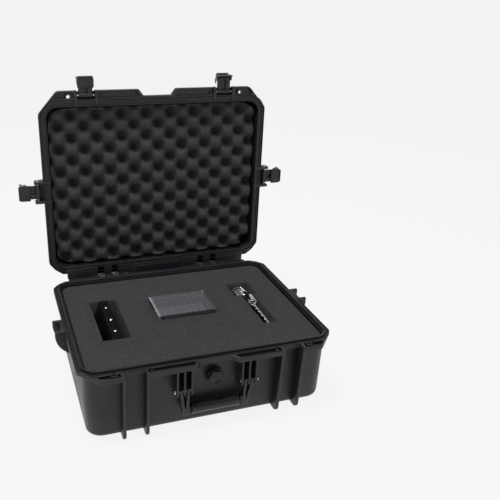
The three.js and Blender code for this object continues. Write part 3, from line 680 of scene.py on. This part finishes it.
TOP = RIM + 62
PIN_FRONT, PIN_SIDE, PIN_Z = -201, 262, RIM + 8  # where the latches' ear pins run
lid_tub = tub_rings(5, RIM - 62, RIM - 5, 18, 7) + tub_rings(0.5, RIM - 57.5, RIM - 5, 14, 7)[::-1]
lid_parts = [overturned(skin(lid_tub))]
lid_parts += [overturned(part) for part in flange_parts(RIM - FLANGE, RIM - 0.35)]
inner_ridge = [(-0.6, RIM + 4), (-0.6, RIM + 1.4), (0, RIM + 0.4), (1.3, RIM + 0.4), (1.9, RIM + 1.4),
               (1.9, RIM + 4)]
lid_parts.append(bead(inner_ridge))
lid_rib = outline(
    (FRONT, RIM + 0.6, 1.5),
    (FRONT, RIM + 15, 8),
    (-OPEN_Y - 15, RIM + 24, 8),
    (-OPEN_Y - 10, TOP + 4, 22),
    (OPEN_Y + 11, TOP + 4, 26),
    (OPEN_Y + 12, RIM + 12),
    (OPEN_Y + 2.6, RIM + 12),
    (OPEN_Y - 4, TOP - 2.2, 16),
    (-OPEN_Y + 4, TOP - 2.2, 16),
    (-OPEN_Y - 2.8, RIM + 0.6),
)
side_ear = outline(
    (236, RIM + 0.6),
    (REACH, RIM + 0.6, 1.5),
    (REACH, RIM + 17.5, 8),
    (251, RIM + 21, 10),
    (236, RIM + 37),
)
lid_arm = outline(
    (ROOT_Y, RIM + 0.6),
    (HINGE_Y - 6, RIM + 0.6),
    (HINGE_Y, HINGE_Z),
    (HINGE_Y + KNUCKLE, HINGE_Z),
    (HINGE_Y + KNUCKLE, RIM),
    (HINGE_Y, RIM + 8),
    (ROOT_Y, RIM + 8),
)
one_side = []
for x in RIB_X:
    one_side.append(fin(lid_rib, x, RIB))
    bush = [(-3.6, 2.3), (-3.6, 5.2), (3.6, 5.2), (3.6, 2.3)]
    one_side.append(turned(bush, (x, PIN_FRONT, PIN_Z), "x", 24, "looped"))
one_side.append(block((RIB_X[0], RIB_X[1]), (-208.5, -184), (RIM + 15, RIM + 17.4), 0.6))
for y in (-EAR_Y, EAR_Y):
    one_side.append(fin(side_ear, y, RIB, "y"))
one_side.append(block((239, 266), (-EAR_Y, EAR_Y), (RIM + 14.5, RIM + 16.5), 0.6))
one_side.append(block((55, 212), (ROOT_Y, 209.4), (RIM + 0.6, RIM + FLANGE), 1))
for offset in (-16, 16):
    one_side.append(fin(lid_arm, HINGE_X + offset, 15.2, edge=0.6))
    one_side.append(rod("x", (HINGE_X + offset, HINGE_Y, HINGE_Z), KNUCKLE, 15.2, 0.8))
lid_parts += both_sides(one_side)
lid_parts.append(block((-60, 60), (ROOT_Y, 213.4), (RIM + 3.2, RIM + FLANGE), 1))
make_piece("lid_moulding", lid_parts, shell_plastic, "lid", "shell", "lid_shell", place=opened)


# ---- lid seal ----
# A soft black rubber cord, pressed into the groove of the lid's rim.
seal = bead([(2.5, RIM + 3.6), (6.5, RIM + 3.6), (6.3, RIM + 2.9), (4.5, RIM + 2.5), (2.7, RIM + 2.9)])
make_piece("seal_cord", [seal], seal_rubber, "lid", "seal", "lid_gasket", place=opened)


# ---- egg-crate foam in the lid ----
# A sheet of the same foam, cut in half along a wave so that its face is rows of soft crests with
# deep pits between them. It is pressed into the lid and held by its own spring.
def egg_crate(half_x, half_y, shift, low, depth, top):
    """A sheet with a waved face and a flat back. The wave is cos(pi (x - 5) / 27) * cos(pi (y - 13)
    / 24.5), and with w = (1 + wave) / 2 the face lies at low + depth * w ** 2: broad soft crests,
    with a round pit wherever the wave peaks."""
    columns, rows = 176, 152
    u, v = np.meshgrid(np.linspace(-1, 1, columns), np.linspace(-1, 1, rows))
    # Pull the square's corners in to a rounded outline: a superellipse of power 14.
    reach = np.maximum(np.abs(u), np.abs(v))
    power = (np.abs(u) ** 14 + np.abs(v) ** 14) ** (1 / 14)
    pull = np.divide(reach, power, out=np.ones_like(reach), where=power > 0)
    x, y = half_x * u * pull, half_y * v * pull
    wave = np.cos(math.pi * (x - 5) / 27) * np.cos(math.pi * (y - 13) / 24.5)
    pit = ((1 + wave) / 2) ** 2
    face = np.stack([x + shift[0], y + shift[1], low + depth * pit], axis=-1)
    back = face.copy()
    back[..., 2] = top
    count = columns * rows
    i, j = np.meshgrid(np.arange(rows - 1), np.arange(columns - 1), indexing="ij")
    first = i * columns + j
    quads = np.stack([first, first + 1, first + columns + 1, first + columns], axis=-1).reshape(-1, 4)
    index = np.arange(count).reshape(rows, columns)
    rim = np.concatenate([index[0], index[1:, -1], index[-1, -2::-1], index[-2:0:-1, 0]])
    after = np.roll(rim, -1)
    walls = np.column_stack([rim, after, after + count, rim + count])
    faces = np.concatenate([quads, quads[:, ::-1] + count, walls]).tolist()
    return np.concatenate([face.reshape(-1, 3), back.reshape(-1, 3)]), faces


egg_sheet = egg_crate(230.5, 175.0, (-1.5, -1.0), RIM + 6.4, 30, RIM + 52)
egg_foam = make_piece("egg_crate_foam", [egg_sheet], foam_grey, "lid", "foam", "lid_foam",
                      place=opened, smooth=60)


# ---- latches ----
# Four alike, moulded in slightly glossy black plastic: an arm on a steel pin between two ears, and a
# tab on a second pin at its end. Three tabs are thrown right over and one stands halfway.
LEVER_X, LEVER_Y = 1.5, -28.0  # the tab's pin, from the ear pin
LATCHES = {  # where its ear pin stands, which way is outwards, and how far the tab is thrown back
    "front_left": ((-LATCH_X, PIN_FRONT), (0, -1), 180),
    "front_right": ((LATCH_X, PIN_FRONT), (0, -1), 90),
    "side_left": ((-PIN_SIDE, 0), (-1, 0), 180),
    "side_right": ((PIN_SIDE, 0), (1, 0), 180),
}


def latch_place(at, out, tab_turn=None):
    """The latch's own frame (X out, Y up, Z along the pin) to the open case. A tab first turns back
    about its pin by its angle; then the arm turns up a quarter, (X, Y) to (-Y, X)."""
    along = np.cross((*out, 0), (0, 0, 1))

    def place(points):
        x, y, z = np.asarray(points).T
        if tab_turn is not None:
            a = math.radians(-tab_turn)
            dx, dy = x - LEVER_X, y - LEVER_Y
            x = LEVER_X + dx * math.cos(a) - dy * math.sin(a)
            y = LEVER_Y + dx * math.sin(a) + dy * math.cos(a)
        x, y = -y, x
        closed = np.outer(x, (*out, 0)) + np.outer(y, (0, 0, 1)) + np.outer(z, along)
        return opened(closed + (*at, PIN_Z))

    return place


def across(shape, z0, z1, edge):
    """A plate whose outline is seen along the pins, from z0 to z1 across the latch."""
    return plate(outline(*shape), z0, z1, edge)


arm_parts = [
    rod("z", (0, 0, 0), 5.4, 29, 0.8),
    rod("z", (LEVER_X, LEVER_Y, 0), 3.5, 28.8, 0.6),
]
leg = [(-1.5, -27, 0.8), (3.8, -27, 0.8), (4, -3, 0.8), (-1.5, -3, 0.8)]
for z0, z1 in ((-14.5, -4.5), (4.5, 14.5)):
    arm_parts.append(across(leg, z0, z1, 0.9))
arm_parts.append(across([(1.9, -27), (3.4, -27), (3.4, -3), (1.9, -3)], -5.5, 5.5, 0.2))
cheek = [(8, -33, 0.8), (-1.5, -33, 4), (-3.5, -28, 2), (-1.5, -23, 4), (8, -23, 0.8)]
nose = [(-9.5, -22.8, 1), (2, -22.8, 0.5), (2, -18.9, 0.5), (-9.5, -19.4, 1)]
tab_face = outline((-17, -40, 2.2), (17, -40, 2.2), (17, -22, 2), (15, -16, 2.2), (-15, -16, 2.2),
                   (-17, -22, 2))
tab_points, tab_faces = plate(tab_face, 6.2, 9.2, 0.9)
tab_parts = [(tab_points[:, [2, 1, 0]], tab_faces)]  # drawn flat, and stood up to face outwards
for z0, z1 in ((-17.2, -15.2), (15.2, 17.2)):
    tab_parts += [across(cheek, z0, z1, 0.4), across(nose, z0, z1, 0.4)]
lip = [(8.6, -19.2, 0.4), (12, -18.6, 1), (12, -16.4, 0.9), (8.6, -16, 0.4)]
tab_parts.append(across(lip, -13.6, 13.6, 0.8))
for y in (-37, -35):
    ridge = [(9, y - 0.6, 0.2), (9.7, y - 0.4, 0.2), (9.7, y + 0.4, 0.2), (9, y + 0.6, 0.2)]
    tab_parts.append(across(ridge, -13, 13, 0.3))
for name, (at, out, tab_turn) in LATCHES.items():
    arm_place, tab_place = latch_place(at, out), latch_place(at, out, tab_turn)
    ear_pin = rod("z", (0, 0, 0), 2, 49.6, 0.4)
    tab_pin = rod("z", (LEVER_X, LEVER_Y, 0), 1.5, 35, 0.3)
    make_piece(f"ear_pin_{name}", [ear_pin], steel,
               "lid", "pin", f"latch_pin_{name}", place=arm_place)
    make_piece(f"arm_{name}", arm_parts, latch_plastic,
               f"arm_{name}", "latch", f"latch_arm_{name}", place=arm_place)
    make_piece(f"tab_pin_{name}", [tab_pin], steel,
               f"arm_{name}", "pin", f"lever_pin_{name}", place=arm_place)
    make_piece(f"tab_{name}", tab_parts, latch_plastic,
               f"lever_{name}", "latch", f"latch_lever_{name}", place=tab_place)


# ---- clear box ----
# A small box: a thick cover of clear plastic with polished edges, over a shallow grey tray. Light grey
# strips along the left edges and up one back corner are painted highlights, where those edges catch
# the light, and thin black strips inside the front and right walls are painted shade, for the dark
# those walls pick up.
clear_plastic = surface(
    "clear_plastic", (0.15, 0.155, 0.165), 0.08, 2.5, 0.0, speckle=0.5, wear=0.03, Alpha=0.32
)
# Light grey for painted highlights: the glint on the cover's polished edges.
painted_edge_highlight = surface("painted_edge_highlight", (0.60, 0.63, 0.64), 0.3, 2, 0.0)
tray_grey = surface("tray_grey", (0.12, 0.122, 0.13), 0.35, 2.2, 0.05, speckle=0.6)
gloss_black = surface("gloss_black", (0.004, 0.004, 0.0045), 0.16, 3, 0.004, Specular_IOR_Level=0.25)


def cup(x, y, low, high, wall, roof):
    """A box open underneath, as one closed surface: down the outside, in, and up to the roof."""
    centre = (sum(x) / 2, sum(y) / 2)
    half = ((x[1] - x[0]) / 2, (y[1] - y[0]) / 2)
    steps = [(-0.9, high), (0, high - 0.9), (0, low + 0.4), (-0.4, low), (-wall, low),
             (-wall, high - roof)]
    rings = []
    for grow, z in steps:
        loop = rounded_rectangle(half[0] + grow, half[1] + grow, 2.4 + 0.5 * max(grow, -1), 5) + centre
        rings.append(np.column_stack([loop, np.full(len(loop), z)]))
    return skin(rings)


BOX_LOW, BOX_TOP = RIM - 37, RIM + 3
cover = cup((-61.9, 61.9), (-23.4, 65.4), BOX_LOW, BOX_TOP, 3, 3)
make_piece("box_cover", [cover], clear_plastic, "clear_box", "clear", "clear_cover")
# Painted highlights: light grey strips along the cover's two left top edges and up its back right
# corner.
edge_highlights = [
    block((-61.6, -60.4), (-22, 64), (BOX_TOP - 0.8, BOX_TOP - 0.05), 0.2),
    block((-58.4, -57.6), (-22, 64), (BOX_TOP - 0.8, BOX_TOP - 0.05), 0.2),
    block((58.4, 60.4), (62.2, 64.2), (BOX_LOW + 13, BOX_TOP - 0.1), 0.3),
]
make_piece("box_painted_edge_highlights", edge_highlights, painted_edge_highlight, "clear_box", "clear")
# Painted shade: thin black strips inside the cover's front and right walls.
painted_shade_strips = [
    block((-57, 61), (-23, -20.6), (BOX_LOW + 12, BOX_TOP - 1.6), 0.3),
    block((58.8, 61.4), (-20.4, 61), (BOX_LOW + 12, BOX_TOP - 1.6), 0.3),
]
make_piece("box_painted_shade_strips", painted_shade_strips, gloss_black, "clear_box", "dark_gloss")
tray = block((-58.5, 58.5), (-20, 62), (BOX_LOW + 0.3, BOX_LOW + 11), 1)
make_piece("box_tray", [tray], tray_grey, "clear_box", "dark_gloss", "clear_box_tray")


# ---- chrome hand tool ----
# A polished metal tool: a round head with three raised rings and a boss, a flat body with a dark
# round window, and a slim bar for a handle with raised blocks along it.
chrome = surface("polished_chrome", (0.86, 0.87, 0.88), 0.07, 3, 0.0, wear=0.02, Metallic=1.0)
TOOL_Z = FOAM_TOP - 2
HEAD_X, HEAD_Z = 147, TOOL_Z - 16  # the round head's axis
core_profile = [(44.2, 12.5), (45.8, 14.4), (82, 14.4), (83.8, 12.5)]
core = turned(core_profile, (HEAD_X, 0, HEAD_Z), "y", 48)
boss = turned([(80.2, 3), (81, 4), (93, 4), (93.8, 3.2)], (152, 0, TOOL_Z - 6), "y", 24)
make_piece("tool_barrel", [core, boss], chrome, "hand_tool", "chrome", "tool_head")
for k, y in enumerate((74, 65, 56)):
    outer = 19 + k / 2
    inner = outer - 4
    profile = [(y - 2.4, inner + 0.1), (y - 2.4, outer - 0.9), (y - 1.4, outer), (y + 1.4, outer),
               (y + 2.4, outer - 0.9), (y + 2.4, inner + 0.1)]
    ring = turned(profile, (HEAD_X, 0, HEAD_Z), "y", 48, "looped")
    make_piece(f"tool_band_{k + 1}", [ring], chrome, "hand_tool", "chrome", f"tool_ring_{k + 1}")
body_outline = outline((143, 42.8, 2), (167, 42.8, 2), (168, 12, 3), (161, -2, 2), (150, -4, 2),
                       (143, 6, 3))
window = circle(155, 8, 5.4, 28)
make_piece("tool_plate", [plate(body_outline, TOOL_Z - 14, TOOL_Z - 2, 1.0, [window])], chrome,
           "hand_tool", "chrome", "tool_body")
lens_profile = [(TOOL_Z - 13.4, 5), (TOOL_Z - 5.4, 5), (TOOL_Z - 4.8, 3.6), (TOOL_Z - 4.6, 1.6)]
lens = turned(lens_profile, (155, 8, 0), "z", 28)
make_piece("tool_window", [lens], gloss_black, "hand_tool", "dark_gloss", "tool_lens")
bar_outline = outline((152, -4.7), (158, -4.7), (157, -82, 6), (160.8, -90.8, 1), (156, -90.8, 2),
                      (151, -82, 6))
bar_parts = [plate(bar_outline, TOOL_Z - 20, TOOL_Z - 4.4, 0.8)]
for y in (-14, -30, -46, -62):
    bar_parts.append(block((152.4, 156.8), (y - 4.6, y + 4.6), (TOOL_Z - 6, TOOL_Z - 3.1), 0.5))
make_piece("tool_bar", bar_parts, chrome, "hand_tool", "chrome", "tool_handle")


# ---- black tool with three rivets ----
# A wedge of glossy black plastic: a narrow strip on top with three steel rivets, and a cover
# sloping down each side, the left one with four slots.
RIDGE_Z, RIDGE_X, FOOT_Z = FOAM_TOP + 1, -155.0, FOAM_TOP - 53
STRIP_X = 7.9  # half width of the strip
strip_plastic = surface(
    "strip_plastic", (0.005, 0.005, 0.0055), 0.45, 1.6, 0.1, Specular_IOR_Level=0.12
)
RIVETS = (56, 4, -42)
strip = outline((RIDGE_X - STRIP_X, -69.8, 1), (RIDGE_X + STRIP_X, -69.8, 1),
                (RIDGE_X + STRIP_X, 74, 4), (RIDGE_X + 2, 89.8, 2), (RIDGE_X - 2, 89.8, 2),
                (RIDGE_X - STRIP_X, 74, 4))
strip_holes = [circle(RIDGE_X, y, 2.7, 16) for y in RIVETS]
make_piece("ridge_strip", [plate(strip, RIDGE_Z - 8, RIDGE_Z, 0.8, strip_holes)], strip_plastic,
           "black_tool", "dark_gloss", "black_tool_spine")
for k, y in enumerate(RIVETS):
    rivet = [(RIDGE_Z - 9, 1.9), (RIDGE_Z - 8.6, 2.3), (RIDGE_Z + 0.6, 2.3), (RIDGE_Z + 0.6, 4),
             (RIDGE_Z + 1.2, 3.9), (RIDGE_Z + 1.9, 3), (RIDGE_Z + 2.2, 1.2)]
    make_piece(f"rivet_{k + 1}", [turned(rivet, (RIDGE_X, y, 0), "z", 24)], steel,
               "black_tool", "pin", f"black_tool_rivet_{k + 1}")


def sloping_cover(edge_x, foot_x, thickness, slots=()):
    """A flat sheet, drawn level and then tipped so that it runs from the strip's edge down to its
    foot: z falls as x moves out, by (fall / spread) for each millimetre."""
    spread, fall = foot_x - edge_x, RIDGE_Z - FOOT_Z
    length = math.hypot(spread, fall)
    foot = length - 0.4
    sheet = outline((0.2, -69.6, 0.8), (foot, -69.6, 4), (foot, 89.6, 4), (0.2, 89.6, 0.8))
    points, faces = plate(sheet, -thickness, 0, 0.7, slots)
    down, y, raised = points.T
    unit_x, unit_z = spread / length, -fall / length
    sign = -1 if spread > 0 else 1
    x = edge_x + down * unit_x + sign * raised * unit_z
    z = RIDGE_Z + down * unit_z - sign * raised * unit_x
    return np.column_stack([x, y, z]), faces


slots = []
for y in (-59, -39, -19, 1):
    slots.append(outline((20, y - 4, 0.8), (37, y - 1, 0.8), (37, y + 6, 0.8), (20, y + 3, 0.8)))
make_piece("slotted_cover", [sloping_cover(RIDGE_X - 8.4, -183.6, 4, slots)], gloss_black,
           "black_tool", "dark_gloss", "black_tool_left_cover")
make_piece("plain_cover", [sloping_cover(RIDGE_X + 8.4, -133.4, 4)], gloss_black,
           "black_tool", "dark_gloss", "black_tool_right_cover")
